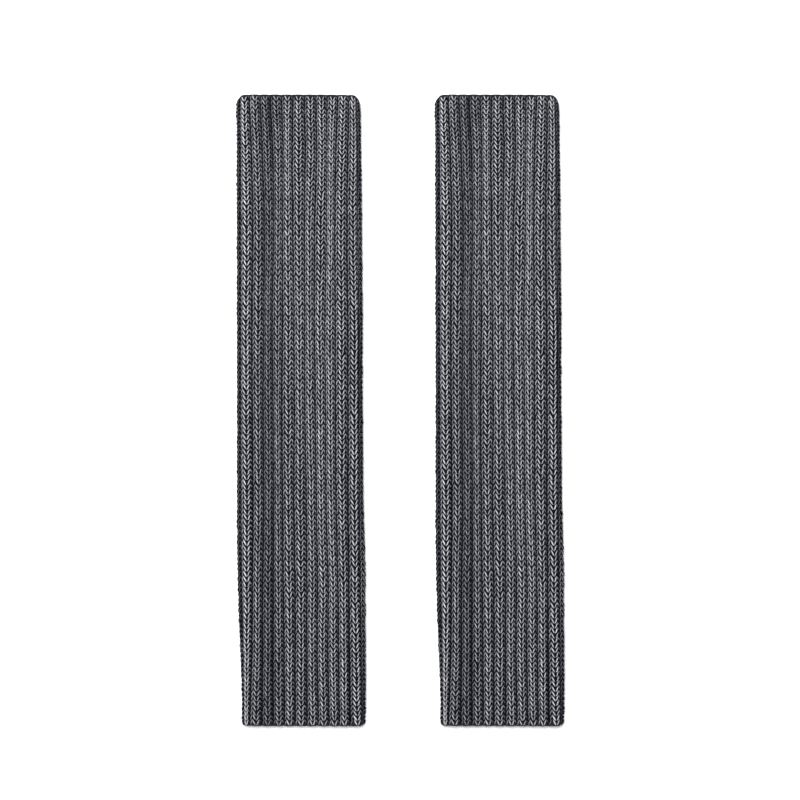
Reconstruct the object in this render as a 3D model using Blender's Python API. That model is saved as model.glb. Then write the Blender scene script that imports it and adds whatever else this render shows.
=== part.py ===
"""Pair of rib-knit leg warmers lying flat, side by side.

Each leg warmer is one knitted tube, open at both ends, that lies flat: its front layer rests on
its back layer and the two meet in a rounded fold at each side. Ribs run down it all round. A
cast-on edge closes the knitting at the upper mouth and a bind-off edge at the lower one.

The model is in metres. +X runs across the pair to the right, +Y along the tubes towards the
cast-on edges and +Z up from the surface they lie on. The origin is on that surface, at the
middle of the pair. Sizes below are in millimetres.
"""

import bpy
import numpy as np

MM = 0.001

# The pair
LENGTH = 450.0
PAIR_SPACING = 141.8
SIDES = (("left", -PAIR_SPACING / 2), ("right", PAIR_SPACING / 2))

# The knitted wall
RIBS_AROUND = 24
WALL_AT_RIB = 3.2
FLAT_HEIGHT = 7.2
MIDDLE_HEIGHT = 3.6
FOLD_REACH = 4.0
INNER_FOLD_REACH = 1.5
PRESSED_CREST = 0.15
RIB_ROUNDNESS = 0.6

# Long soft waves of the front layer, as shares of the width from the left fold
RIDGE_PLACE, RIDGE_SPREAD = 0.06, 0.26
HUMP_PLACE, HUMP_SPREAD = 0.84, 0.24

# Edges
EDGE_LENGTH = 2.0
EDGE_INSET = 0.2
SEAM_GAP = 0.3

# Mouths: how far from each fold, round the outline, the mouth starts to curve back, how far back
# it is at the fold, and how much more that half of the mouth falls back from its middle
UPPER_MOUTH = {"left": (12.0, 6.4, 0.0), "right": (9.0, 6.2, 0.5)}
LOWER_MOUTH = {"left": (4.0, 1.0, 0.5), "right": (6.0, 1.4, 0.0)}
MOUTH_FADE = 40.0

# One row for each section down the tube. Edges are measured across from the middle of the tube.
SECTION_COLUMNS = ("from_top", "left_edge", "right_edge", "groove_depth", "ridge", "hump")
SECTIONS = (
    (0.0, -46.3, 42.2, 2.2, 0.5, 0.4),
    (18.0, -45.9, 42.6, 2.2, 0.8, 0.5),
    (42.0, -45.8, 42.8, 2.0, 1.2, 0.8),
    (84.0, -45.8, 43.6, 1.8, 1.7, 1.2),
    (141.0, -45.6, 44.0, 1.7, 2.0, 1.4),
    (198.0, -45.6, 43.8, 1.7, 2.2, 1.6),
    (255.0, -45.5, 44.3, 1.7, 2.2, 1.4),
    (298.0, -45.6, 44.9, 1.8, 2.0, 1.3),
    (340.0, -45.1, 46.2, 1.9, 1.7, 1.3),
    (383.0, -44.0, 46.3, 2.0, 1.4, 1.2),
    (412.0, -43.0, 46.4, 2.1, 1.0, 0.9),
    (430.0, -42.5, 46.2, 2.2, 0.8, 0.7),
    (450.0, -42.6, 45.8, 2.2, 0.5, 0.5),
)

# Each row: a distance from the upper mouth, then the places across of the grooves that the
# front shows there, from the left fold to the right one. FRONT_RIBS ribs lie between them.
FRONT_RIBS = 11
GROOVES = (
    (7.0, -44.4, -37.3, -29.6, -22.6, -14.5, -6.5, 1.8, 10.1, 18.0, 25.6, 33.4, 39.8),
    (38.0, -44.2, -36.0, -28.2, -20.9, -13.2, -7.0, 2.4, 10.4, 18.0, 24.2, 33.0, 40.7),
    (85.0, -43.8, -35.0, -26.8, -19.7, -13.7, -6.6, 1.9, 9.3, 17.9, 23.5, 32.1, 40.5),
    (164.0, -43.8, -35.5, -26.7, -21.1, -13.7, -5.6, 2.1, 8.8, 16.4, 23.8, 32.7, 41.7),
    (226.0, -43.9, -35.1, -27.4, -20.1, -14.3, -5.3, 2.2, 9.5, 17.0, 23.9, 32.9, 41.8),
    (289.0, -43.7, -34.6, -26.9, -19.9, -13.7, -5.8, 3.2, 10.4, 17.2, 24.4, 32.9, 41.9),
    (352.0, -43.2, -35.0, -27.8, -20.2, -13.1, -4.8, 3.6, 11.1, 18.9, 25.8, 33.7, 42.0),
    (399.0, -42.4, -35.5, -27.9, -20.4, -12.5, -4.8, 3.6, 11.0, 18.6, 26.2, 33.8, 43.2),
    (446.0, -41.6, -37.2, -28.3, -20.2, -12.4, -4.8, 3.7, 11.8, 19.5, 26.8, 34.3, 44.3),
)

# Points around a section
OUTER_PER_RIB = 6
INNER_PER_RIB = 2
OUTLINE_SAMPLES = 400
NORMAL_STEP = 0.4

# Finish
YARN_COLOUR = (0.086, 0.088, 0.099, 1.0)
EDGE_COLOUR = (0.062, 0.064, 0.073, 1.0)
YARN_ROUGHNESS = 0.92


def remove_scene_objects():
    """Empty the scene before modelling."""
    for thing in list(bpy.data.objects):
        bpy.data.objects.remove(thing, do_unlink=True)


def yarn_material(name, colour):
    """Matt knitting yarn."""
    material = bpy.data.materials.new(name)
    material.use_nodes = True
    shader = material.node_tree.nodes["Principled BSDF"]
    shader.inputs["Base Color"].default_value = colour
    shader.inputs["Roughness"].default_value = YARN_ROUGHNESS
    shader.inputs["Metallic"].default_value = 0.0
    return material


def section_at(from_top):
    """The table's sizes at any distance from the upper mouth."""
    table = np.array(SECTIONS)
    return {
        name: float(np.interp(from_top, table[:, 0], table[:, column]))
        for column, name in enumerate(SECTION_COLUMNS)
    }


def grooves_at(from_top):
    """Where the front's grooves lie at any distance from the upper mouth."""
    table = np.array(GROOVES)
    return [float(np.interp(from_top, table[:, 0], places)) for places in table[:, 1:].T]


def front_height(x, section):
    """Height of the front layer's rib crests at x, clear of the folds."""
    share = (x - section["left_edge"]) / (section["right_edge"] - section["left_edge"])
    ridge = section["ridge"] * np.exp(-(((share - RIDGE_PLACE) / RIDGE_SPREAD) ** 2))
    hump = section["hump"] * np.exp(-(((share - HUMP_PLACE) / HUMP_SPREAD) ** 2))
    return FLAT_HEIGHT + ridge + hump


class FlatLoop:
    """Closed outline of the flattened tube, a given depth inside its rib crests.

    It starts at the left fold, crosses the front layer to the right fold and comes back along
    the back layer. Samples crowd together at the folds, where the outline is rounded.
    """

    def __init__(self, section, depth, reach):
        left = section["left_edge"] + depth
        right = section["right_edge"] - depth
        turn = np.linspace(0.0, np.pi, OUTLINE_SAMPLES)
        x = (left + right) / 2 - (right - left) / 2 * np.cos(turn)
        into_fold = np.clip(1.0 - np.minimum(x - left, right - x) / reach, 0.0, 1.0)
        roundness = np.sqrt(1.0 - into_fold**2)
        front_rise = front_height(x, section) - depth - MIDDLE_HEIGHT
        back_fall = MIDDLE_HEIGHT + PRESSED_CREST - depth
        self.x = np.concatenate((x, x[-2::-1]))
        self.z = MIDDLE_HEIGHT + np.concatenate(
            (front_rise * roundness, -back_fall * roundness[-2::-1])
        )
        steps = np.hypot(np.diff(self.x), np.diff(self.z))
        self.lengths = np.concatenate(([0.0], np.cumsum(steps)))
        self.whole = self.lengths[-1]
        self.right_fold = self.lengths[OUTLINE_SAMPLES - 1]

    def front_distance(self, x):
        """Distance round the outline to the front layer at x."""
        return np.interp(x, self.x[:OUTLINE_SAMPLES], self.lengths[:OUTLINE_SAMPLES])

    def back_distance(self, x):
        """Distance round the outline to the back layer at x."""
        back = slice(None, OUTLINE_SAMPLES - 2, -1)
        return np.interp(x, self.x[back], self.lengths[back])

    def place(self, distance):
        """Points at distances round the outline."""
        x = np.interp(distance % self.whole, self.lengths, self.x)
        z = np.interp(distance % self.whole, self.lengths, self.z)
        return np.stack((x, z), axis=1)

    def outward(self, distance):
        """Directions square to the outline, pointing out of it."""
        along = self.place(distance + NORMAL_STEP) - self.place(distance - NORMAL_STEP)
        along /= np.linalg.norm(along, axis=1, keepdims=True)
        return np.stack((-along[:, 1], along[:, 0]), axis=1)


def rib_distance(rib, grooves, loop):
    """Distance round the outline to a rib coordinate; whole numbers are grooves.

    The front's grooves have the coordinates 1 to FRONT_RIBS + 1. The other ribs share the rest
    of the outline: the right fold, the back layer and the left fold.
    """
    at_grooves = loop.front_distance(grooves)
    first_at, last_at = at_grooves[0], at_grooves[-1]
    across_front = np.interp(rib, np.arange(1, FRONT_RIBS + 2), at_grooves)
    into_hidden = (rib - 1.0 - FRONT_RIBS) / (RIBS_AROUND - FRONT_RIBS)
    round_back = last_at + into_hidden * (loop.whole - last_at + first_at)
    return np.where(rib <= 1.0 + FRONT_RIBS, across_front, round_back) % loop.whole


def behind(distance, section, outer, inner):
    """Distance round the inner outline to the points behind those of the outer one.

    The two match straight through the layers, and squeeze together round the folds.
    """
    left = section["left_edge"] + WALL_AT_RIB + INNER_FOLD_REACH
    right = section["right_edge"] - WALL_AT_RIB - INNER_FOLD_REACH

    def marks(loop):
        front = loop.front_distance((left, right))
        back = loop.back_distance((right, left))
        return np.concatenate(([0.0], front, back, [loop.whole]))

    return np.interp(distance, marks(outer), marks(inner))


def mouth_bend(from_folds, mouth, from_mouth):
    """How far the knitting is bent back from a mouth's end line.

    Close to the mouth its depth stays square to the curved edge, so that the edge and its seam
    keep their width round the corners.
    """
    seam_depth = min(from_mouth, EDGE_LENGTH + SEAM_GAP)
    middle = (from_folds["left"] + from_folds["right"]) / 2
    bend = 0.0
    for side, from_fold in from_folds.items():
        reach, corner_drop, half_fall = mouth[side]
        into_corner = np.clip(1.0 - from_fold / reach, 0.0, 1.0)
        into_half = np.clip(1.0 - from_fold / middle, 0.0, 1.0)
        slope = 2.0 * corner_drop / reach * into_corner
        bend = bend + corner_drop * into_corner**2 + half_fall * into_half**2
        bend = bend + (np.hypot(1.0, slope) - 1.0) * seam_depth
    return bend


def along_tube(x, from_top, loop):
    """Y of points of a section, bent with the nearer mouth."""
    from_left = loop.front_distance(x)
    from_folds = {"left": from_left, "right": loop.right_fold - from_left}
    y = LENGTH / 2 - from_top
    for mouth, from_mouth, inward in (
        (UPPER_MOUTH, from_top, -1.0),
        (LOWER_MOUTH, LENGTH - from_top, 1.0),
    ):
        fade = max(0.0, 1.0 - from_mouth / MOUTH_FADE) ** 2
        y = y + inward * fade * mouth_bend(from_folds, mouth, from_mouth)
    return y


def section_rings(from_top, inset, lowest):
    """Outer ring with its raised ribs and plain inner ring of one section."""
    section = section_at(from_top)
    outer = FlatLoop(section, 0.0, FOLD_REACH)
    inner = FlatLoop(section, WALL_AT_RIB, INNER_FOLD_REACH)
    rib = 1.0 + np.arange(RIBS_AROUND * OUTER_PER_RIB) / OUTER_PER_RIB
    distance = rib_distance(rib, grooves_at(from_top), outer)
    fullness = np.abs(np.sin(np.pi * rib)) ** RIB_ROUNDNESS
    depth = inset + section["groove_depth"] * (1.0 - fullness)
    outer_places = outer.place(distance) - outer.outward(distance) * depth[:, None]
    outer_places[:, 1] = np.maximum(outer_places[:, 1], lowest)
    inner_distance = distance[:: OUTER_PER_RIB // INNER_PER_RIB]
    inner_places = inner.place(behind(inner_distance, section, outer, inner))

    def ring(places):
        y = along_tube(places[:, 0], from_top, outer)
        return [(x * MM, y_at * MM, z * MM) for (x, z), y_at in zip(places, y)]

    return ring(outer_places), ring(inner_places)


def knitted_tube(name, stations, centre, material, inset=0.0, lowest=0.0):
    """A closed, hollow wall through one section at each station, open at both ends."""
    outer_count = RIBS_AROUND * OUTER_PER_RIB
    inner_count = RIBS_AROUND * INNER_PER_RIB
    span = outer_count // inner_count
    vertices, outer_rings, inner_rings = [], [], []
    for from_top in stations:
        outer, inner = section_rings(from_top, inset, lowest)
        outer_rings.append(range(len(vertices), len(vertices) + outer_count))
        vertices += outer
        inner_rings.append(range(len(vertices), len(vertices) + inner_count))
        vertices += inner

    faces = []
    for upper, lower in zip(outer_rings, outer_rings[1:]):
        for place in range(outer_count):
            after = (place + 1) % outer_count
            faces.append((lower[place], lower[after], upper[after], upper[place]))
    for upper, lower in zip(inner_rings, inner_rings[1:]):
        for place in range(inner_count):
            after = (place + 1) % inner_count
            faces.append((upper[place], upper[after], lower[after], lower[place]))
    for outer, inner, is_upper in (
        (outer_rings[0], inner_rings[0], True),
        (outer_rings[-1], inner_rings[-1], False),
    ):
        for place in range(inner_count):
            after = (place + 1) % inner_count
            fan = [outer[(place * span + step) % outer_count] for step in range(span + 1)]
            ends = [(inner[place], first, second) for first, second in zip(fan, fan[1:])]
            ends.append((inner[place], fan[-1], inner[after]))
            faces += ends if is_upper else [face[::-1] for face in ends]

    mesh = bpy.data.meshes.new(name)
    mesh.from_pydata(vertices, [], faces)
    mesh.materials.append(material)
    mesh.shade_smooth()
    mesh.validate()
    tube = bpy.data.objects.new(name, mesh)
    tube.location = (centre * MM, 0.0, 0.0)
    bpy.context.scene.collection.objects.link(tube)
    return tube


def leg_warmer(side, centre, yarn, edge_yarn):
    """One leg warmer: the tube, with an edge at each mouth."""
    tube_start = EDGE_LENGTH + SEAM_GAP
    tube_end = LENGTH - tube_start
    between = [row[0] for row in SECTIONS if tube_start < row[0] < tube_end]
    knitted_tube(f"{side}_tube", [tube_start, *between, tube_end], centre, yarn)
    knitted_tube(
        f"{side}_cast_on_edge", [0.0, EDGE_LENGTH], centre, edge_yarn,
        inset=EDGE_INSET, lowest=EDGE_INSET,
    )
    knitted_tube(
        f"{side}_bind_off_edge", [LENGTH - EDGE_LENGTH, LENGTH], centre, edge_yarn,
        inset=EDGE_INSET, lowest=EDGE_INSET,
    )


def main():
    remove_scene_objects()
    yarn = yarn_material("grey_yarn", YARN_COLOUR)
    edge_yarn = yarn_material("grey_edge_yarn", EDGE_COLOUR)
    for side, centre in SIDES:
        leg_warmer(side, centre, yarn, edge_yarn)


main()
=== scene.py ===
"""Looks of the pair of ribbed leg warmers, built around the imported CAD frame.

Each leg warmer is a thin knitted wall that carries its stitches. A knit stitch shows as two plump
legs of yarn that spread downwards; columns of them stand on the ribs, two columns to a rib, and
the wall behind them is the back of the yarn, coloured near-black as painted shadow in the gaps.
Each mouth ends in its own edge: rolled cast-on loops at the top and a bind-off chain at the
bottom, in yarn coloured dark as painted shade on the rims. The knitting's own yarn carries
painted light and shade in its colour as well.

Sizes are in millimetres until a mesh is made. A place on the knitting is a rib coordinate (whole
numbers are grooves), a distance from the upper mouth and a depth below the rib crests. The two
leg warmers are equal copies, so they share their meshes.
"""

import bpy
import numpy as np
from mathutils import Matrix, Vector

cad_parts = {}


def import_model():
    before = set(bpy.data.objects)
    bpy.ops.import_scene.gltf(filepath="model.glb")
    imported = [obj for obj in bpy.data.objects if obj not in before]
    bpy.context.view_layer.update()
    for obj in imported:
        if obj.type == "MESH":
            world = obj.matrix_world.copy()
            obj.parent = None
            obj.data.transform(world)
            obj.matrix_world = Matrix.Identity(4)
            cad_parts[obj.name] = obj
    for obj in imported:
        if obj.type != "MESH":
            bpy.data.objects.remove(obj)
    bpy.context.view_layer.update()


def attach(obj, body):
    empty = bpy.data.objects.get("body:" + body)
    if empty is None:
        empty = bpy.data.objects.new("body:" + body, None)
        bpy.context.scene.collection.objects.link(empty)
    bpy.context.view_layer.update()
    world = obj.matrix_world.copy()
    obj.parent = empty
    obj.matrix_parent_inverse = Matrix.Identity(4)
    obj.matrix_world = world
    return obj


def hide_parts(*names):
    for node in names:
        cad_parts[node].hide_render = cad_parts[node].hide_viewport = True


MM = 0.001
SEED = 4127

# The form of the knitting, as in the CAD model apart from slightly rounder corners at the mouths
LENGTH = 450.0
PAIR_SPACING = 141.8
SIDES = (("left", -PAIR_SPACING / 2), ("right", PAIR_SPACING / 2))
RIBS_AROUND = 24
FRONT_RIBS = 11
WALL_AT_RIB = 3.2
FLAT_HEIGHT = 7.2
MIDDLE_HEIGHT = 3.6
FOLD_REACH = 4.0
INNER_FOLD_REACH = 1.5
PRESSED_CREST = 0.15
RIB_ROUNDNESS = 0.6
RIDGE_PLACE, RIDGE_SPREAD = 0.06, 0.26
HUMP_PLACE, HUMP_SPREAD = 0.84, 0.24
EDGE_LENGTH = 2.0
SEAM_GAP = 0.3
# For each fold: how far a mouth's corner reaches, how far it drops and the fall of that half
UPPER_MOUTH = {"left": (13.0, 5.0, 0.0), "right": (10.0, 5.2, 0.5)}
LOWER_MOUTH = {"left": (3.0, 0.5, 0.4), "right": (6.0, 1.4, 0.0)}
MOUTH_FADE = 40.0
CORNER_ROUNDNESS = 1.4
SECTION_COLUMNS = (
    "from_top", "left_edge", "right_edge", "groove_depth", "ridge", "hump",
)
SECTIONS = (
    (0.0, -46.3, 42.2, 2.2, 0.5, 0.4),
    (18.0, -45.9, 42.6, 2.2, 0.8, 0.5),
    (42.0, -45.8, 42.8, 2.0, 1.2, 0.8),
    (84.0, -45.8, 43.6, 1.8, 1.7, 1.2),
    (141.0, -45.6, 44.0, 1.7, 2.0, 1.4),
    (198.0, -45.6, 43.8, 1.7, 2.2, 1.6),
    (255.0, -45.5, 44.3, 1.7, 2.2, 1.4),
    (298.0, -45.6, 44.9, 1.8, 2.0, 1.3),
    (340.0, -45.1, 46.2, 1.9, 1.7, 1.3),
    (383.0, -44.0, 46.3, 2.0, 1.4, 1.2),
    (412.0, -43.0, 46.4, 2.1, 1.0, 0.9),
    (430.0, -42.5, 46.2, 2.2, 0.8, 0.7),
    (450.0, -42.6, 45.8, 2.2, 0.5, 0.5),
)
# From the upper mouth, then across from the tube's middle to each groove of the front layer
GROOVES = (
    (7.0, -44.4, -37.3, -29.6, -22.6, -14.5, -6.5, 1.8, 10.1, 18.0, 25.6, 33.4, 39.8),
    (38.0, -44.2, -36.0, -28.2, -20.9, -13.2, -7.0, 2.4, 10.4, 18.0, 24.2, 33.0, 40.7),
    (85.0, -43.8, -35.0, -26.8, -19.7, -13.7, -6.6, 1.9, 9.3, 17.9, 23.5, 32.1, 40.5),
    (164.0, -43.8, -35.5, -26.7, -21.1, -13.7, -5.6, 2.1, 8.8, 16.4, 23.8, 32.7, 41.7),
    (226.0, -43.9, -35.1, -27.4, -20.1, -14.3, -5.3, 2.2, 9.5, 17.0, 23.9, 32.9, 41.8),
    (289.0, -43.7, -34.6, -26.9, -19.9, -13.7, -5.8, 3.2, 10.4, 17.2, 24.4, 32.9, 41.9),
    (352.0, -43.2, -35.0, -27.8, -20.2, -13.1, -4.8, 3.6, 11.1, 18.9, 25.8, 33.7, 42.0),
    (399.0, -42.4, -35.5, -27.9, -20.4, -12.5, -4.8, 3.6, 11.0, 18.6, 26.2, 33.8, 43.2),
    (446.0, -41.6, -37.2, -28.3, -20.2, -12.4, -4.8, 3.7, 11.8, 19.5, 26.8, 34.3, 44.3),
)

# Rounds of stitches: their height at distances from the upper mouth
ROUND_HEIGHTS = (
    (0.0, 3.2), (40.0, 3.2), (58.0, 3.34), (87.0, 3.57), (115.0, 3.64), (143.0, 3.58),
    (172.0, 3.54), (285.0, 3.6), (315.0, 3.68), (345.0, 3.78), (372.0, 3.68), (400.0, 3.45),
    (450.0, 3.48),
)
FIRST_ROUND, LAST_ROUND = 1.3, 450.0

# The fabric's grid
GRID_PER_RIB = 16
GRID_STEP = 2.5
OUTLINE_SAMPLES = 400
NORMAL_STEP = 0.5

# How the knitting sways: lengths of the waves along the tube, then their size
RIB_SWAY = ((160.0, 75.0, 40.0), 0.03)
ROUND_SWAY = ((220.0, 90.0, 45.0), 0.5)
MOST_TURNS = 6
ROUND_SWAY_FADE = 15.0

# Stitches
STITCH_COLUMNS = (0.31, 0.855)
RIB_WIDTH = 7.85
YARN_RADIUS = 0.5
FRONT_LEG_SIDES, BACK_LEG_SIDES = 5, 4
# The back's columns begin where the fabric's outward direction points down by this much
BACK_BEGINS = -0.35
# A leg of a stitch at each of its rings: share of the round's height, distance across from the
# column's line, depth below the surface, thickness as a share of the yarn's and how bright it is
# painted, a painted light and shade along the leg. The first of two legs leans to the right on its
# way down, the second to the left.
INNER_LEGS = (
    (
        (-0.22, 0.15, 0.8, 0.85, 0.4), (0.06, 0.45, 0.35, 1.15, 0.75), (0.36, 0.9, 0.0, 1.3, 0.96),
        (0.66, 1.35, 0.15, 1.25, 0.86), (0.96, 1.88, 0.5, 1.1, 1.0),
    ),
    (
        (-0.2, 0.0, 0.9, 0.85, 0.4), (0.08, 0.52, 0.45, 1.15, 0.8), (0.36, 0.92, 0.1, 1.2, 0.95),
        (0.66, 1.16, 0.25, 1.15, 0.84), (0.96, 1.8, 0.55, 1.05, 1.0),
    ),
)
OUTER_LEGS = (
    (
        (-0.12, 0.0, 0.7, 0.95, 0.9), (0.1, 0.5, 0.4, 1.2, 1.6), (0.34, 0.95, 0.4, 1.2, 1.65),
        (0.62, 1.1, 0.6, 1.0, 1.1), (0.98, 0.95, 1.0, 0.65, 0.5),
    ),
    (
        (-0.22, 0.15, 0.9, 0.9, 0.6), (0.1, 0.55, 0.6, 1.1, 0.85), (0.42, 1.0, 0.55, 1.15, 1.02),
        (0.72, 1.2, 0.75, 1.0, 0.95), (1.0, 1.05, 1.2, 0.65, 0.6),
    ),
)
BACK_LEG = (
    (-0.06, 0.1, 0.5, 0.85, 0.8), (0.35, 0.6, 0.0, 1.05, 1.0), (0.82, 1.1, 0.45, 0.85, 0.8),
)
# How much a leg differs from its shape: across, along, in thickness, in depth and in slant,
# which turns it about a share of the round's height
NUDGE_ACROSS, NUDGE_ALONG = 0.12, 0.16
NUDGE_THICKNESS, NUDGE_DEPTH = 0.09, 0.14
NUDGE_SLANT, SLANT_MIDDLE = 0.16, 0.45
# How far the stitches stand out on the folds, and how near the mouths they no longer do
FOLD_PROUD = 0.6
FOLD_PROUD_FADE = 3.0

# The wall behind the stitches
WALL_DEPTH, DEEPEST_WALL = 1.5, 2.9
WALL_FOLD_RISE = 1.6
WALL_PER_RIB = 8
WALL_STEP = 8.0

# Edges. A loop at each of its rings: distance from the upper mouth, depth and the yarn's radius.
# A link of the chain: share of its length, rise and the yarn's radius.
EDGE_STITCHES = 96
EDGE_YARN_SIDES = 6
CAST_ON_BAND_DEPTH, BIND_OFF_BAND_DEPTH = 0.7, 1.1
CAST_ON_LOOP = (
    (2.2, 0.85, 0.4), (1.1, 0.65, 0.5), (0.4, 1.0, 0.55), (0.4, 2.0, 0.55), (1.4, 2.75, 0.4),
)
CAST_ON_LEAN = 0.5
LOOP_NUDGE, LOOP_THICKNESS_NUDGE = 0.006, 0.05
CHAIN_LINK = ((0.0, 0.25, 0.3), (0.35, 0.0, 0.45), (0.7, -0.1, 0.45), (1.0, -0.3, 0.3))
LINK_LENGTH = 1.3
CHAIN_FROM_MOUTH = 0.25
CHAIN_SPREAD, CHAIN_SLANT = 0.3, 0.4
CHAIN_SINK, INNER_CHAIN_SINK = 0.7, 0.25
CHAIN_NUDGE = 0.05

# Light that reaches the yarn: how fast it falls round a strand, with depth and round the folds.
# The factors here and in the tables below were fitted until the ribs and grooves of the render
# were on average about as bright as the photo's. They shade the yarn itself, in any light.
SIDE_FALL = 4.5
PAINTED_SHADE_DEPTH = 1.35
FOLD_LIGHT, LOWER_LEFT_FOLD_LIGHT = 0.2, 0.75
FOLD_FALL = 4
LOWER_LEFT_BEGINS, LOWER_LEFT_FULL = 380.0, 412.0
# How much painted shade darkens the yarn next to each groove that shows, from the left fold to
# the right one, and how many ribs from the groove that reaches
GROOVE_SHADE = (1.4, 0.9, 0.55, 0.6, 0.5, 0.5, 0.5, 0.5, 0.5, 0.5, 0.6, 1.2)
GROOVE_REACH, LAST_GROOVE_REACH = 0.1, 0.14
LAST_GROOVE_BEGINS, LAST_GROOVE_FULL = 20.0, 70.0
# What the grooves' painted shade is multiplied by, at distances from the upper mouth
GROOVE_GLOOM = (
    (0.0, 1.1), (60.0, 0.7), (150.0, 0.7), (250.0, 1.1), (350.0, 1.4), (450.0, 1.8),
)
# How brightly the front is painted as lit, at distances across from the tube's middle
FRONT_PAINTED_LIGHT = (
    (-44.0, 1.5), (-41.0, 1.3), (-38.5, 1.45), (-36.0, 1.4), (-33.5, 0.95), (-31.0, 0.9),
    (-24.0, 0.55), (-17.0, 0.76), (-9.5, 1.1), (-2.0, 1.08), (6.0, 1.0), (14.0, 1.12),
    (21.0, 1.08), (28.5, 1.2), (37.0, 1.1), (40.5, 1.5), (43.5, 1.3),
)

# Finish
# The yarn's colours run from near-black, in full painted shade, to its colour in full painted
# light.
YARN_DARK, YARN_LIGHT = (0.0013, 0.0015, 0.004, 1.0), (0.492, 0.502, 0.534, 1.0)
# Dark colours of the edges' yarn and bands: painted shade on the mouths' rims.
EDGE_DARK, EDGE_LIGHT = (0.008, 0.0082, 0.0095, 1.0), (0.024, 0.0246, 0.0276, 1.0)
# Near-black colours of the wall behind the stitches: painted shadow in the gaps between them.
WALL_DARK, WALL_LIGHT = (0.001, 0.001, 0.0018, 1.0), (0.0035, 0.0037, 0.0055, 1.0)
INSIDE_DARK, INSIDE_LIGHT = (0.015, 0.0155, 0.018, 1.0), (0.045, 0.046, 0.052, 1.0)
YARN_SHEEN, YARN_TWIST_DEPTH = 0.06, 0.25
EDGE_SHEEN, EDGE_TWIST_DEPTH = 0.05, 0.2
PLIES = 2.0
PLY_TURNS_PER_MM = 0.55
YARN_FIBRE_SCALE, CLOUD_SCALE = 2600.0, 38.0
# What makes the yarn's tone, on top of a least tone
LEAST_TONE = 0.19
FIBRE_TONE, PLY_TONE, STRAND_TONE, CLOUD_TONE = 0.25, 0.15, 0.22, 0.1
YARN_FIBRE_BUMP, YARN_BUMP = 0.35, 0.8
YARN_ROUGHNESS, SHEEN_ROUGHNESS = 0.92, 0.5
KNIT_SPECULAR = 0.02
PURLS_PER_RIB = 2
PURL_HEIGHT = 3.58
PURL_LIFT = 0.15
PURL_FIBRE_SCALE, PURL_FIBRE_BUMP = 1800.0, 0.25
PURL_BUMP, PURL_BUMP_DEPTH = 0.9, 0.5
PURL_ROUGHNESS = 0.95

# View
CAMERA_X, CAMERA_Y = -0.000285, 0.007125
FOCUS_HEIGHT = 0.0075
FRAME_WIDTH = 0.570
LENS, SENSOR = 100.0, 36.0
FLOOR_HALF = 3.0
FLOOR_COLOUR = (0.5, 0.5, 0.5, 1.0)
FLOOR_ROUGHNESS, FLOOR_SPECULAR = 0.8, 0.1
WORLD_STRENGTH = 0.3
# Place, size and power of each light; both point at the origin
LIGHTS = {
    "key_light": ((-0.4, 0.7, 2.1), 1.5, 180.0),
    "fill_light": ((0.6, -0.4, 1.9), 1.2, 8.0),
}


def hermite(rows, at):
    """Smooth values between a table's rows; the first column is where each row stands."""
    table = np.array(rows)
    stands, values = table[:, 0], table[:, 1:]
    slopes = np.gradient(values, stands, axis=0)
    at = np.clip(at, stands[0], stands[-1])
    row = np.clip(np.searchsorted(stands, at, side="right") - 1, 0, len(stands) - 2)
    step = (stands[row + 1] - stands[row])[..., None]
    share = (at - stands[row])[..., None] / step
    rise = share**2 * (3.0 - 2.0 * share)
    value = values[row] * (1.0 - rise) + values[row + 1] * rise
    value = value + slopes[row] * step * share * (1.0 - share) ** 2
    return value - slopes[row + 1] * step * share**2 * (1.0 - share)


def ramp(at, begins, ends):
    """0 up to where a change begins and 1 from where it ends."""
    return np.clip((at - begins) / (ends - begins), 0.0, 1.0)


def away_from_mouths(from_top, reach):
    """0 at the mouths and 1 from a distance inwards."""
    return np.clip(np.minimum(from_top, LENGTH - from_top) / reach, 0.0, 1.0)


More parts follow.
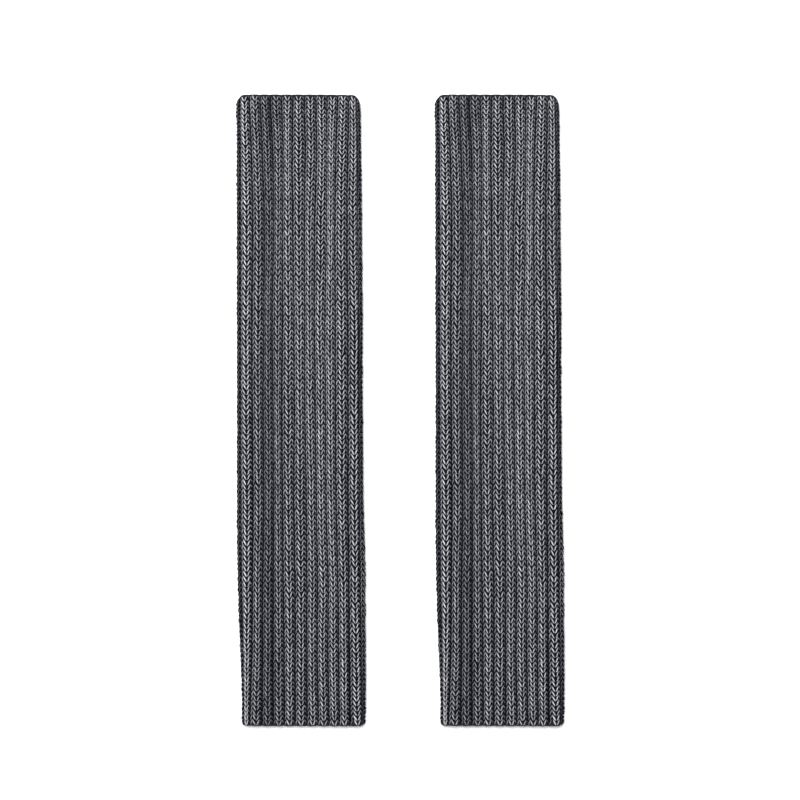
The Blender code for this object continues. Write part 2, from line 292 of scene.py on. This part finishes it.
class Outline:
    """The closed outline of the flattened tube at one distance from the upper mouth.

    It starts at the left fold, crosses the front layer to the right fold and comes back along
    the back layer, a given depth inside the rib crests.
    """

    def __init__(self, from_top, depth=0.0, reach=FOLD_REACH):
        self.size = dict(zip(SECTION_COLUMNS[1:], hermite(SECTIONS, from_top)))
        self.grooves = hermite(GROOVES, from_top)
        left = self.size["left_edge"] + depth
        right = self.size["right_edge"] - depth
        turn = np.linspace(0.0, np.pi, OUTLINE_SAMPLES)
        x = (left + right) / 2 - (right - left) / 2 * np.cos(turn)
        into_fold = np.clip(1.0 - np.minimum(x - left, right - x) / reach, 0.0, 1.0)
        roundness = np.sqrt(1.0 - into_fold**2)
        front_rise = self.front_height(x) - depth - MIDDLE_HEIGHT
        back_fall = MIDDLE_HEIGHT + PRESSED_CREST - depth
        self.x = np.concatenate((x, x[-2::-1]))
        self.z = MIDDLE_HEIGHT + np.concatenate(
            (front_rise * roundness, -back_fall * roundness[-2::-1])
        )
        steps = np.hypot(np.diff(self.x), np.diff(self.z))
        self.lengths = np.concatenate(([0.0], np.cumsum(steps)))
        self.whole = self.lengths[-1]
        self.right_fold = self.lengths[OUTLINE_SAMPLES - 1]

    def front_height(self, x):
        left, right = self.size["left_edge"], self.size["right_edge"]
        share = (x - left) / (right - left)
        ridge = self.size["ridge"] * np.exp(-(((share - RIDGE_PLACE) / RIDGE_SPREAD) ** 2))
        hump = self.size["hump"] * np.exp(-(((share - HUMP_PLACE) / HUMP_SPREAD) ** 2))
        return FLAT_HEIGHT + ridge + hump

    def front_distance(self, x):
        return np.interp(x, self.x[:OUTLINE_SAMPLES], self.lengths[:OUTLINE_SAMPLES])

    def back_distance(self, x):
        back = slice(None, OUTLINE_SAMPLES - 2, -1)
        return np.interp(x, self.x[back], self.lengths[back])

    def place(self, distance):
        x = np.interp(distance % self.whole, self.lengths, self.x)
        z = np.interp(distance % self.whole, self.lengths, self.z)
        return np.stack((x, z), axis=1)

    def outward(self, distance):
        along = self.place(distance + NORMAL_STEP) - self.place(distance - NORMAL_STEP)
        along /= np.linalg.norm(along, axis=1, keepdims=True)
        return np.stack((-along[:, 1], along[:, 0]), axis=1)

    def rib_distance(self, rib):
        """Distance round the outline to a rib coordinate from 1 to 1 + RIBS_AROUND."""
        at_grooves = self.front_distance(self.grooves)
        first_at, last_at = at_grooves[0], at_grooves[-1]
        across_front = np.interp(rib, np.arange(1, FRONT_RIBS + 2), at_grooves)
        into_hidden = (rib - 1.0 - FRONT_RIBS) / (RIBS_AROUND - FRONT_RIBS)
        round_back = last_at + into_hidden * (self.whole - last_at + first_at)
        return np.where(rib <= 1.0 + FRONT_RIBS, across_front, round_back)


def mouth_bend(from_folds, mouth, from_mouth):
    """How far the knitting is bent back from a mouth's end line."""
    seam_depth = min(from_mouth, EDGE_LENGTH + SEAM_GAP)
    middle = (from_folds["left"] + from_folds["right"]) / 2
    bend = 0.0
    for side, from_fold in from_folds.items():
        reach, corner_drop, half_fall = mouth[side]
        into_corner = np.clip(1.0 - from_fold / reach, 0.0, 1.0) ** CORNER_ROUNDNESS
        into_half = np.clip(1.0 - from_fold / middle, 0.0, 1.0)
        slope = 2.0 * corner_drop / reach * into_corner
        bend = bend + corner_drop * into_corner**2 + half_fall * into_half**2
        bend = bend + (np.hypot(1.0, slope) - 1.0) * seam_depth
    return bend


def along_tube(x, from_top, outline):
    """Y of points of a section, bent with the nearer mouth."""
    from_left = outline.front_distance(x)
    from_folds = {"left": from_left, "right": outline.right_fold - from_left}
    y = LENGTH / 2 - from_top
    for mouth, from_mouth, inward in (
        (UPPER_MOUTH, from_top, -1.0),
        (LOWER_MOUTH, LENGTH - from_top, 1.0),
    ):
        fade = max(0.0, 1.0 - from_mouth / MOUTH_FADE) ** 2
        y = y + inward * fade * mouth_bend(from_folds, mouth, from_mouth)
    return y


def behind(distance, outer, inner):
    """Distance round the inner outline to the points behind those of the outer one."""
    left = outer.size["left_edge"] + WALL_AT_RIB + INNER_FOLD_REACH
    right = outer.size["right_edge"] - WALL_AT_RIB - INNER_FOLD_REACH

    def marks(outline):
        front = outline.front_distance((left, right))
        back = outline.back_distance((right, left))
        return np.concatenate(([0.0], front, back, [outline.whole]))

    return np.interp(distance % outer.whole, marks(outer), marks(inner))


class Fabric:
    """A grid over the knitting that turns its own coordinates into places in space."""

    def __init__(self):
        self.columns = RIBS_AROUND * GRID_PER_RIB
        self.stands = np.linspace(0.0, LENGTH, round(LENGTH / GRID_STEP) + 1)
        ribs = 1.0 + np.arange(self.columns) / GRID_PER_RIB
        along_normals = np.zeros(self.columns)
        places, normals, inners = [], [], []
        for from_top in self.stands:
            outer = Outline(from_top)
            inner = Outline(from_top, WALL_AT_RIB, INNER_FOLD_REACH)
            distance = outer.rib_distance(ribs)
            place, outward = outer.place(distance), outer.outward(distance)
            inner_place = inner.place(behind(distance, outer, inner))
            y = along_tube(place[:, 0], from_top, outer)
            inner_y = along_tube(inner_place[:, 0], from_top, outer)
            places.append(np.stack((place[:, 0], y, place[:, 1]), axis=1))
            normals.append(np.stack((outward[:, 0], along_normals, outward[:, 1]), axis=1))
            inners.append(np.stack((inner_place[:, 0], inner_y, inner_place[:, 1]), axis=1))
        self.places, self.normals, self.inners = map(np.array, (places, normals, inners))

    def sample(self, grid, rib, from_top):
        """A grid's values between its points."""
        column = (rib - 1.0) % RIBS_AROUND * GRID_PER_RIB
        row = np.clip(from_top, 0.0, LENGTH) / self.stands[1]
        left = np.floor(column).astype(int)
        above = np.minimum(np.floor(row).astype(int), len(self.stands) - 2)
        across, down = (column - left)[..., None], (row - above)[..., None]
        left %= self.columns
        right = (left + 1) % self.columns
        upper = grid[above, left] * (1.0 - across) + grid[above, right] * across
        lower = grid[above + 1, left] * (1.0 - across) + grid[above + 1, right] * across
        return upper * (1.0 - down) + lower * down

    def outside(self, rib, from_top, depth):
        """Points a depth below the rib crests, and the directions out of the fabric there."""
        normal = self.sample(self.normals, rib, from_top)
        normal /= np.linalg.norm(normal, axis=-1, keepdims=True)
        point = self.sample(self.places, rib, from_top) - normal * depth[..., None]
        point[..., 1] -= from_top - np.clip(from_top, 0.0, LENGTH)
        return point, normal

    def inside(self, rib, from_top):
        """Points of the tube's inner surface."""
        return self.sample(self.inners, rib, from_top)

    def levelness(self, rib, from_top, depth):
        """1 where the fabric lies level, front or back, and 0 on the folds."""
        return np.abs(self.outside(rib, from_top, depth)[1][..., 2])


def groove_depth(rib, from_top):
    """How far the knitting's surface lies below the rib crests."""
    depth = hermite(SECTIONS, from_top)[..., SECTION_COLUMNS.index("groove_depth") - 1]
    return depth * (1.0 - np.abs(np.sin(np.pi * rib)) ** RIB_ROUNDNESS)


def waves(seed, rib, from_top, lengths, size):
    """Slow irregular waves over the knitting that close up round the tube."""
    rng = np.random.default_rng(seed)
    total = np.zeros(np.broadcast(rib, from_top).shape)
    for length in lengths:
        turns = rng.integers(1, MOST_TURNS + 1)
        start, lean = rng.uniform(0.0, 2.0 * np.pi, 2)
        round_tube = 2.0 * np.pi * turns * rib / RIBS_AROUND
        total += np.sin(round_tube + start) * np.cos(2.0 * np.pi * from_top / length + lean)
        total += 0.5 * np.sin(round_tube * 2.0 - from_top * 2.0 * np.pi / length + lean)
    return total * size / len(lengths)


def round_stands():
    """Distances from the upper mouth at which the rounds of stitches begin."""
    measured, heights = zip(*ROUND_HEIGHTS)
    stands = [FIRST_ROUND]
    while stands[-1] < LAST_ROUND:
        stands.append(stands[-1] + float(np.interp(stands[-1], measured, heights)))
    stands = np.array(stands)
    stretch = (LAST_ROUND - FIRST_ROUND) / (stands[-1] - FIRST_ROUND)
    return FIRST_ROUND + (stands - FIRST_ROUND) * stretch


def mesh_object(name, vertices, faces, materials, attributes=(), face_material=None):
    """A smooth mesh from millimetre points and one or more groups of faces of equal size."""
    mesh = bpy.data.meshes.new(name)
    mesh.vertices.add(len(vertices))
    mesh.vertices.foreach_set("co", (np.asarray(vertices) * MM).astype(np.float32).ravel())
    sizes = np.concatenate([np.full(len(group), group.shape[1]) for group in faces])
    corners = np.concatenate([group.ravel() for group in faces])
    mesh.loops.add(len(corners))
    mesh.loops.foreach_set("vertex_index", corners.astype(np.int32))
    mesh.polygons.add(len(sizes))
    starts = np.concatenate(([0], np.cumsum(sizes)[:-1]))
    mesh.polygons.foreach_set("loop_start", starts.astype(np.int32))
    for attribute_name, kind, values in attributes:
        attribute = mesh.attributes.new(attribute_name, kind, "POINT")
        field = "vector" if kind == "FLOAT_VECTOR" else "value"
        attribute.data.foreach_set(field, np.asarray(values, dtype=np.float32).ravel())
    for material in materials:
        mesh.materials.append(material)
    if face_material is not None:
        mesh.polygons.foreach_set("material_index", face_material.astype(np.int32))
    mesh.update(calc_edges=True)
    mesh.shade_smooth()
    mesh.validate()
    thing = bpy.data.objects.new(name, mesh)
    bpy.context.scene.collection.objects.link(thing)
    return thing


def yarn_tubes(centres, normals, radii, sides):
    """Closed tubes of yarn along rows of points, with a flat cap at each end.

    Returns points, faces and, for each point, its distance along the yarn, its turn round it
    and its tube's number. The turn starts and ends on the side that faces into the fabric.
    """
    count, rings = radii.shape
    along = np.gradient(centres, axis=1)
    along /= np.linalg.norm(along, axis=2, keepdims=True)
    across = np.cross(along, normals)
    across /= np.linalg.norm(across, axis=2, keepdims=True)
    up = np.cross(across, along)
    turn = (np.arange(sides) + 0.5) / sides
    angle = 2.0 * np.pi * turn - np.pi / 2
    spokes = (
        across[:, :, None] * np.cos(angle)[:, None] + up[:, :, None] * np.sin(angle)[:, None]
    )
    hoops = centres[:, :, None] + spokes * radii[:, :, None, None]
    steps = np.linalg.norm(np.diff(centres, axis=1), axis=2)
    reached = np.concatenate((np.zeros((count, 1)), np.cumsum(steps, axis=1)), axis=1)
    yarn_place = np.stack((
        np.repeat(reached, sides, axis=1),
        np.tile(turn, (count, rings)),
        np.repeat(np.arange(count), rings * sides).reshape(count, -1),
    ), axis=2)

    side = np.arange(sides)
    after = (side + 1) % sides
    hoop = sides * np.arange(rings - 1)[:, None]
    walls = np.stack(
        (hoop + side, hoop + sides + side, hoop + sides + after, hoop + after), axis=2
    ).reshape(-1, 4)
    caps = np.stack((side, sides * (rings - 1) + side[::-1]))
    first = (np.arange(count) * rings * sides)[:, None, None]
    return (
        hoops.reshape(-1, 3),
        [(walls + first).reshape(-1, 4), (caps + first).reshape(-1, sides)],
        yarn_place.reshape(-1, 3),
    )


def stitch_object(name, parts, rng, material):
    """One piece from several sets of yarn tubes, each strand with a shade of its own.

    Each part is a set of tubes and the light and shade painted on its rings.
    """
    points, quads, caps, yarn_places, painted_light_points, count, tubes = [], [], [], [], [], 0, 0
    for (part_points, (part_walls, part_caps), yarn_place), painted_light in parts:
        points.append(part_points)
        quads.append(part_walls + count)
        caps.append(part_caps + count)
        yarn_place = yarn_place.copy()
        yarn_place[:, 2] += tubes
        tubes = int(yarn_place[:, 2].max()) + 1
        yarn_places.append(yarn_place)
        # Painted shade round each strand: bright on its outer side, falling to none on its sides
        # and underside.
        turned_out = -np.cos(2.0 * np.pi * yarn_place[:, 1])
        turned_out = np.sign(turned_out) * np.abs(turned_out) ** SIDE_FALL
        painted_light_points.append(np.repeat(painted_light.ravel(), part_caps.shape[1]) * turned_out)
        count += len(part_points)
    points = np.concatenate(points)
    points[:, 2] = np.maximum(points[:, 2], 0.0)
    yarn_places = np.concatenate(yarn_places)
    shade = rng.uniform(0.0, 1.0, tubes)[yarn_places[:, 2].astype(int)]
    return mesh_object(
        name, points, [np.concatenate(quads), np.concatenate(caps)], [material],
        (
            ("yarn_place", "FLOAT_VECTOR", yarn_places), ("strand_shade", "FLOAT", shade),
            ("painted_light", "FLOAT", np.concatenate(painted_light_points)),
        ),
    )


def painted_light_on_yarn(fabric, rib, from_top, depth):
    """The light and shade painted on the yarn: little light deep down, beside a groove and on the
    folds.
    """
    place, normal = fabric.outside(rib, from_top, depth)
    # Painted shade deep in the fabric.
    light = np.exp(-np.maximum(depth, 0.0) / PAINTED_SHADE_DEPTH)
    # Painted shade on the folds, less on the lower part of the left one.
    lower_left = ramp(from_top, LOWER_LEFT_BEGINS, LOWER_LEFT_FULL)
    lower_left = np.where(place[..., 0] < 0.0, lower_left, 0.0)
    fold_light = FOLD_LIGHT + (LOWER_LEFT_FOLD_LIGHT - FOLD_LIGHT) * lower_left
    light *= fold_light + (1.0 - fold_light) * np.abs(normal[..., 2]) ** FOLD_FALL

    # Painted shade beside the grooves.
    nearest = np.round(rib)
    groove = (nearest.astype(int) - 1) % RIBS_AROUND
    hidden_grooves = (0.0,) * (RIBS_AROUND - len(GROOVE_SHADE))
    shade = np.array(GROOVE_SHADE + hidden_grooves)[groove]
    shade = np.minimum(shade * hermite(GROOVE_GLOOM, from_top)[..., 0], 1.0)
    last = groove == FRONT_RIBS
    begun = ramp(from_top, LAST_GROOVE_BEGINS, LAST_GROOVE_FULL)
    shade = np.where(last, shade * begun, shade)
    shade = np.where(groove == 0, shade * (1.0 - lower_left), shade)
    reach = np.where(last, LAST_GROOVE_REACH, GROOVE_REACH)
    light *= 1.0 - shade * np.exp(-(((rib - nearest) / reach) ** 2))

    on_front = normal[..., 2] > 0.0
    return light * np.where(on_front, hermite(FRONT_PAINTED_LIGHT, place[..., 0])[..., 0], 1.0)


def stitch_legs(fabric, sway, rng, stands, facing_front):
    """The two legs of every knit stitch of some rounds, on the front or on the back."""
    columns = (1.0 + np.arange(RIBS_AROUND)[:, None] + STITCH_COLUMNS).ravel()
    middle = np.full(columns.shape, LENGTH / 2)
    normal = fabric.outside(columns, middle, np.zeros(columns.shape))[1]
    columns = columns[(normal[:, 2] > BACK_BEGINS) == facing_front]
    column, rounds = (
        grid.ravel()[:, None]
        for grid in np.meshgrid(columns, np.arange(len(stands) - 1), indexing="ij")
    )
    top, height = stands[rounds], np.diff(stands)[rounds]
    parts = []
    for inner in (True, False):
        if facing_front:
            shapes, sides = INNER_LEGS if inner else OUTER_LEGS, FRONT_LEG_SIDES
        else:
            shapes, sides = (BACK_LEG, BACK_LEG), BACK_LEG_SIDES
        hand = np.where((column % 1.0 < 0.5) == inner, 1.0, -1.0)
        leg = np.array(shapes)[(hand[:, 0] < 0.0).astype(int)]
        along, spread, sunk, thickness, light = np.moveaxis(leg, 2, 0)
        nudge = rng.normal(0.0, 1.0, (5, len(column), 1))
        slant = NUDGE_SLANT * nudge[4] * (along - SLANT_MIDDLE)
        rib = column + hand * (spread + slant + NUDGE_ACROSS * nudge[0]) / RIB_WIDTH
        from_top = top + along * height + NUDGE_ALONG * nudge[1]
        radius = YARN_RADIUS * thickness * (1.0 + NUDGE_THICKNESS * nudge[2])
        rib, from_top = sway(rib, from_top)
        sunk = sunk + NUDGE_DEPTH * nudge[3]
        depth = groove_depth(rib, from_top) + sunk + radius
        into_fold = 1.0 - fabric.levelness(rib, from_top, depth)
        depth = depth - FOLD_PROUD * into_fold * away_from_mouths(from_top, FOLD_PROUD_FADE)
        depth = np.minimum(depth, DEEPEST_WALL - radius / 2)
        centres, normals = fabric.outside(rib, from_top, depth)
        # Painted light on each ring: the shade of depth, grooves and folds, times the leg's
        # painted brightness.
        painted_light = painted_light_on_yarn(fabric, rib, from_top, depth - radius) * light
        parts.append((yarn_tubes(centres, normals, radius, sides), painted_light))
    return parts


def edge_ribs():
    """Rib coordinates of the stitches round a mouth."""
    return 1.0 + (np.arange(EDGE_STITCHES)[:, None] + 0.5) * RIBS_AROUND / EDGE_STITCHES


def cast_on_loops(fabric, rng):
    """Loops that roll over the upper mouth, from the outside to the inside."""
    from_top, depth, radius = (np.array(values) for values in zip(*CAST_ON_LOOP))
    lean = CAST_ON_LEAN * np.linspace(-1.0, 1.0, len(from_top)) / RIB_WIDTH
    rib = edge_ribs() + lean + rng.normal(0.0, LOOP_NUDGE, (EDGE_STITCHES, 1))
    from_top = np.broadcast_to(from_top, rib.shape)
    surface = groove_depth(rib, from_top)
    squeezed = surface + depth * (1.0 - surface / WALL_AT_RIB)
    radius = radius * (1.0 + rng.normal(0.0, LOOP_THICKNESS_NUDGE, (EDGE_STITCHES, 1)))
    centres, outward = fabric.outside(rib, from_top, squeezed)
    turn = np.linspace(0.0, 1.0, rib.shape[1])[:, None] * np.pi
    beyond = np.array([0.0, 1.0, 0.0])
    normals = outward * np.cos(turn) + beyond * np.sin(turn)
    return yarn_tubes(centres, normals, radius, EDGE_YARN_SIDES), np.ones(rib.shape)


def bind_off_chain(fabric, rng):
    """Two rows of slanting links along the lower mouth, on the outer side of its rim."""
    parts = []
    for hand in (1.0, -1.0):
        along, rise, radius = (np.array(values) for values in zip(*CHAIN_LINK))
        along = along * LINK_LENGTH - LINK_LENGTH / 2
        rib = edge_ribs() + along * RIBS_AROUND / EDGE_STITCHES
        from_top = LENGTH - CHAIN_FROM_MOUTH + hand * (CHAIN_SPREAD + rise * CHAIN_SLANT)
        from_top = from_top + rng.normal(0.0, CHAIN_NUDGE, (EDGE_STITCHES, 1))
        depth = groove_depth(rib, from_top) + radius
        depth = depth + CHAIN_SINK + INNER_CHAIN_SINK * (1.0 - hand)
        centres, normals = fabric.outside(rib, from_top, depth)
        radius = np.broadcast_to(radius, rib.shape)
        tubes = yarn_tubes(centres, normals, radius, EDGE_YARN_SIDES)
        parts.append((tubes, np.ones(rib.shape)))
    return parts


def wall(name, fabric, stands, materials, outer_depth):
    """A closed, hollow wall of the knitting through the given stands."""
    columns = RIBS_AROUND * WALL_PER_RIB
    rib = 1.0 + np.arange(columns) / WALL_PER_RIB
    rib, from_top = np.meshgrid(rib, stands)
    depth = np.minimum(groove_depth(rib, from_top) + outer_depth, DEEPEST_WALL)
    into_fold = 1.0 - fabric.levelness(rib, from_top, depth)
    rise = WALL_FOLD_RISE * into_fold**2 * away_from_mouths(from_top, FOLD_PROUD_FADE)
    outside = fabric.outside(rib, from_top, depth - rise)[0]
    outside[..., 2] = np.maximum(outside[..., 2], 0.0)
    inside = fabric.inside(rib, from_top)
    vertices = np.concatenate((outside.reshape(-1, 3), inside.reshape(-1, 3)))
    rows = len(stands)
    place = np.arange(columns)
    after = (place + 1) % columns
    row = (np.arange(rows - 1) * columns)[:, None]
    outer = np.stack((row + columns + place, row + columns + after, row + after, row + place), 2)
    layer = rows * columns
    inner = outer[:, :, ::-1] + layer
    upper = np.stack((place, after, after + layer, place + layer), 1)
    lower = upper[:, ::-1] + (rows - 1) * columns
    faces = np.concatenate((outer.reshape(-1, 4), inner.reshape(-1, 4), upper, lower))
    face_material = np.zeros(len(faces))
    face_material[outer.shape[0] * columns :] = len(materials) - 1
    knit_place = np.tile(np.stack((rib.ravel(), from_top.ravel(), np.zeros(rib.size)), 1), (2, 1))
    return mesh_object(
        name, vertices, [faces], materials, (("knit_place", "FLOAT_VECTOR", knit_place),),
        face_material,
    )


class Nodes:
    """A short way to build a material's node tree round its main shader."""

    def __init__(self, material):
        material.use_nodes = True
        self.tree = material.node_tree
        self.shader = self.tree.nodes["Principled BSDF"]

    def put(self, socket, value):
        if isinstance(value, bpy.types.NodeSocket):
            self.tree.links.new(value, socket)
        else:
            socket.default_value = value

    def finish(self, **inputs):
        """Values or links for the shader's sockets, named with _ for each space."""
        for name, value in inputs.items():
            self.put(self.shader.inputs[name.replace("_", " ")], value)

    def add(self, kind, settings=None, **inputs):
        node = self.tree.nodes.new(kind)
        for name, value in (settings or {}).items():
            setattr(node, name, value)
        for name, value in inputs.items():
            place = int(name[1:]) if name[1:].isdigit() else name.replace("_", " ")
            self.put(node.inputs[place], value)
        return node

    def math(self, operation, first, second=0.0, third=0.0):
        return self.add(
            "ShaderNodeMath", {"operation": operation}, i0=first, i1=second, i2=third
        ).outputs[0]

    def mix(self, share, first, second):
        node = self.add("ShaderNodeMix", {"data_type": "RGBA"}, i0=share, i6=first, i7=second)
        return node.outputs[2]

    def attribute(self, name, output="Fac"):
        return self.add("ShaderNodeAttribute", {"attribute_name": name}).outputs[output]

    def split(self, vector):
        return self.add("ShaderNodeSeparateXYZ", Vector=vector).outputs


def yarn_material(name, dark, light, sheen, twist_depth):
    """Matt plied yarn: twisted strands, a fuzzy grain, sheen and shades that differ a little, with
    light and shade painted into its colour.
    """
    material = bpy.data.materials.new(name)
    nodes = Nodes(material)
    place = nodes.split(nodes.attribute("yarn_place", "Vector"))
    strand_shade = nodes.attribute("strand_shade")
    where = nodes.add("ShaderNodeTexCoord").outputs["Object"]

    winding = nodes.math("MULTIPLY", place[1], PLIES)
    winding = nodes.math("MULTIPLY_ADD", place[0], PLY_TURNS_PER_MM, winding)
    ply = nodes.math("SINE", nodes.math("MULTIPLY", winding, 2.0 * np.pi))
    ply = nodes.math("MULTIPLY_ADD", ply, 0.5, 0.5)
    fibre = nodes.add(
        "ShaderNodeTexNoise", Vector=where, Scale=YARN_FIBRE_SCALE, Detail=3.0, Roughness=0.6
    ).outputs["Fac"]
    cloud = nodes.add(
        "ShaderNodeTexNoise", Vector=where, Scale=CLOUD_SCALE, Detail=2.0
    ).outputs["Fac"]
    tone = nodes.math("MULTIPLY", ply, PLY_TONE)
    tone = nodes.math("MULTIPLY_ADD", fibre, FIBRE_TONE, tone)
    tone = nodes.math("MULTIPLY_ADD", strand_shade, STRAND_TONE, tone)
    tone = nodes.math("MULTIPLY_ADD", cloud, CLOUD_TONE, tone)
    tone = nodes.math("ADD", tone, LEAST_TONE)
    # Painted light and shade: the tone and the sheen are scaled by the light painted on each
    # point.
    painted_light = nodes.math("MAXIMUM", nodes.attribute("painted_light"), 0.0)
    tone = nodes.math("MULTIPLY", tone, painted_light)
    height = nodes.math("MULTIPLY_ADD", fibre, YARN_FIBRE_BUMP, ply)
    bump = nodes.add(
        "ShaderNodeBump", Strength=YARN_BUMP, Distance=twist_depth * MM, Height=height
    )
    nodes.finish(
        Base_Color=nodes.mix(tone, dark, light),
        Normal=bump.outputs["Normal"],
        Roughness=YARN_ROUGHNESS,
        Specular_IOR_Level=KNIT_SPECULAR,
        Sheen_Weight=nodes.math("MULTIPLY", painted_light, sheen),
        Sheen_Roughness=SHEEN_ROUGHNESS,
    )
    return material


def purl_material(name, dark, light):
    """The back of the knitting: bumps of yarn across each column, in shadow between stitches."""
    material = bpy.data.materials.new(name)
    nodes = Nodes(material)
    place = nodes.split(nodes.attribute("knit_place", "Vector"))
    where = nodes.add("ShaderNodeTexCoord").outputs["Object"]

    column = nodes.math("SINE", nodes.math("MULTIPLY", place[0], 2.0 * np.pi * PURLS_PER_RIB))
    lift = nodes.math("MULTIPLY", place[1], 1.0 / PURL_HEIGHT)
    lift = nodes.math("MULTIPLY_ADD", column, PURL_LIFT, lift)
    row = nodes.math("SINE", nodes.math("MULTIPLY", lift, 2.0 * np.pi))
    row = nodes.math("MULTIPLY_ADD", row, 0.5, 0.5)
    fibre = nodes.add(
        "ShaderNodeTexNoise", Vector=where, Scale=PURL_FIBRE_SCALE, Detail=3.0
    ).outputs["Fac"]
    # Painted shade: darker between the rows of bumps.
    tone = nodes.math("MULTIPLY_ADD", fibre, 0.5, nodes.math("MULTIPLY", row, 0.5))
    height = nodes.math("MULTIPLY_ADD", fibre, PURL_FIBRE_BUMP, row)
    bump = nodes.add(
        "ShaderNodeBump", Strength=PURL_BUMP, Distance=PURL_BUMP_DEPTH * MM, Height=height
    )
    nodes.finish(
        Base_Color=nodes.mix(tone, dark, light),
        Normal=bump.outputs["Normal"],
        Roughness=PURL_ROUGHNESS,
        Specular_IOR_Level=KNIT_SPECULAR,
    )
    return material


def floor_material():
    material = bpy.data.materials.new("floor")
    Nodes(material).finish(
        Base_Color=FLOOR_COLOUR, Roughness=FLOOR_ROUGHNESS, Specular_IOR_Level=FLOOR_SPECULAR
    )
    return material


def area_light(name, place, size, power):
    """A square white light that points at the origin."""
    data = bpy.data.lights.new(name, "AREA")
    data.shape = "RECTANGLE"
    data.size = data.size_y = size
    data.energy = power
    light = bpy.data.objects.new(name, data)
    bpy.context.scene.collection.objects.link(light)
    light.location = place
    light.rotation_euler = (-Vector(place)).to_track_quat("-Z", "Y").to_euler()


def studio():
    """Pale floor, soft light from the upper left and a camera straight above."""
    scene = bpy.context.scene
    mesh = bpy.data.meshes.new("floor")
    corners = ((-1.0, -1.0), (1.0, -1.0), (1.0, 1.0), (-1.0, 1.0))
    mesh.from_pydata(
        [(x * FLOOR_HALF, y * FLOOR_HALF, 0.0) for x, y in corners], [], [(0, 1, 2, 3)]
    )
    mesh.materials.append(floor_material())
    floor = bpy.data.objects.new("floor", mesh)
    scene.collection.objects.link(floor)

    world = bpy.data.worlds.new("studio")
    scene.world = world
    world.use_nodes = True
    background = world.node_tree.nodes["Background"]
    background.inputs["Color"].default_value = (1.0, 1.0, 1.0, 1.0)
    background.inputs["Strength"].default_value = WORLD_STRENGTH
    scene.view_settings.view_transform = "Standard"
    for name, (place, size, power) in LIGHTS.items():
        area_light(name, place, size, power)

    data = bpy.data.cameras.new("camera")
    data.lens, data.sensor_width = LENS, SENSOR
    camera = bpy.data.objects.new("camera", data)
    scene.collection.objects.link(camera)
    distance = FRAME_WIDTH * LENS / SENSOR
    camera.location = (CAMERA_X, CAMERA_Y, FOCUS_HEIGHT + distance)
    scene.camera = camera


def make_pieces():
    """The pieces of the left leg warmer, by name, about the origin."""
    rng = np.random.default_rng(SEED)
    fabric = Fabric()
    rib_seed, round_seed = rng.integers(0, 2**31, 2)

    def sway(rib, from_top):
        fade = away_from_mouths(from_top, ROUND_SWAY_FADE)
        return (
            rib + waves(rib_seed, rib, from_top, *RIB_SWAY),
            from_top + fade * waves(round_seed, rib, from_top, *ROUND_SWAY),
        )

    yarn = yarn_material("grey_yarn", YARN_DARK, YARN_LIGHT, YARN_SHEEN, YARN_TWIST_DEPTH)
    edge_yarn = yarn_material(
        "grey_edge_yarn", EDGE_DARK, EDGE_LIGHT, EDGE_SHEEN, EDGE_TWIST_DEPTH
    )
    purl = purl_material("purl_side_painted_shadow", WALL_DARK, WALL_LIGHT)
    inside = purl_material("grey_yarn_inside", INSIDE_DARK, INSIDE_LIGHT)

    stands = round_stands()
    half = len(stands) // 2
    seam = EDGE_LENGTH + SEAM_GAP
    wall_stands = np.linspace(seam, LENGTH - seam, round(LENGTH / WALL_STEP) + 1)
    return {
        "knit_wall": wall("left_knit_wall", fabric, wall_stands, [purl, inside], WALL_DEPTH),
        "cast_on_band": wall(
            "left_cast_on_band", fabric, np.array([0.0, seam]), [edge_yarn, edge_yarn],
            CAST_ON_BAND_DEPTH,
        ),
        "bind_off_band": wall(
            "left_bind_off_band", fabric, np.array([LENGTH - seam, LENGTH]),
            [edge_yarn, edge_yarn], BIND_OFF_BAND_DEPTH,
        ),
        "upper_front_stitches": stitch_object(
            "left_upper_front_stitches",
            stitch_legs(fabric, sway, rng, stands[: half + 1], True), rng, yarn,
        ),
        "lower_front_stitches": stitch_object(
            "left_lower_front_stitches",
            stitch_legs(fabric, sway, rng, stands[half:], True), rng, yarn,
        ),
        "back_stitches": stitch_object(
            "left_back_stitches", stitch_legs(fabric, sway, rng, stands, False), rng, yarn
        ),
        "cast_on_loops": stitch_object(
            "left_cast_on_loops", [cast_on_loops(fabric, rng)], rng, edge_yarn
        ),
        "bind_off_chain": stitch_object(
            "left_bind_off_chain", bind_off_chain(fabric, rng), rng, edge_yarn
        ),
    }


def main():
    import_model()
    made = make_pieces()
    for side, centre in SIDES:
        pieces = {}
        for name, thing in made.items():
            if side == "right":
                thing = bpy.data.objects.new(f"right_{name}", thing.data)
                bpy.context.scene.collection.objects.link(thing)
            thing.location = (centre * MM, 0.0, 0.0)
            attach(thing, "root")
            pieces[name] = thing
        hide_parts(f"{side}_tube")
        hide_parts(f"{side}_cast_on_edge")
        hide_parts(f"{side}_bind_off_edge")
        cloth = pieces.pop("knit_wall")

    studio()


main()
